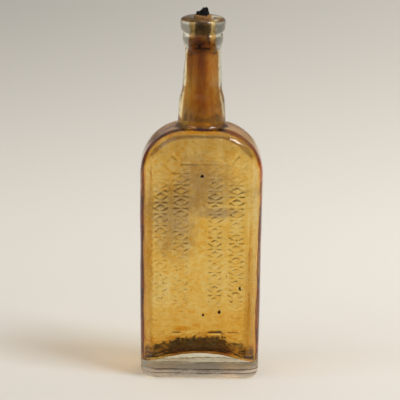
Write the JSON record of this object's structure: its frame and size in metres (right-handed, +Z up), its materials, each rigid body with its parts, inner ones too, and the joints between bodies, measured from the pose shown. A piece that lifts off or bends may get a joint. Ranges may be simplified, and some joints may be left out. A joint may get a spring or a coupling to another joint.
{
  "type": "medicine bottle",
  "caption": "Flat, round-shouldered clear glass medicine bottle with bevelled corners and a double ring mouth, corked, stained inside by dried residue.",
  "frame": {"origin": "centre of the base, on the plane of the flat ring the bottle stands on", "axes": "+Z up along the neck, X across the bottle's width, -Y out of the embossed front"},
  "size_m": [0.0746, 0.043, 0.2273],
  "materials": {
    "glass": "clear, faintly grey-green, hand-made",
    "film": "see-through amber varnish, dried on",
    "dregs": "dried, brown-black, half glossy",
    "cork": "old, dark, crumbly",
    "pitch": "black, broken"
  },
  "bodies": {
    "bottle": {"glass_bottle": "glass", "residue_film": "film", "residue_cake": "dregs", "flake_shoulder": "dregs", "flake_low_middle": "dregs", "flake_low_right": "dregs", "flake_edge": "dregs"},
    "stopper": {"cork_stopper": "cork", "pitch_seal": "pitch"}
  },
  "joints": [
    {"name": "cork_pull", "type": "slide", "parent": "bottle", "child": "stopper", "axis": [0, 0, 1], "range_m": [0, 0.026]}
  ]
}
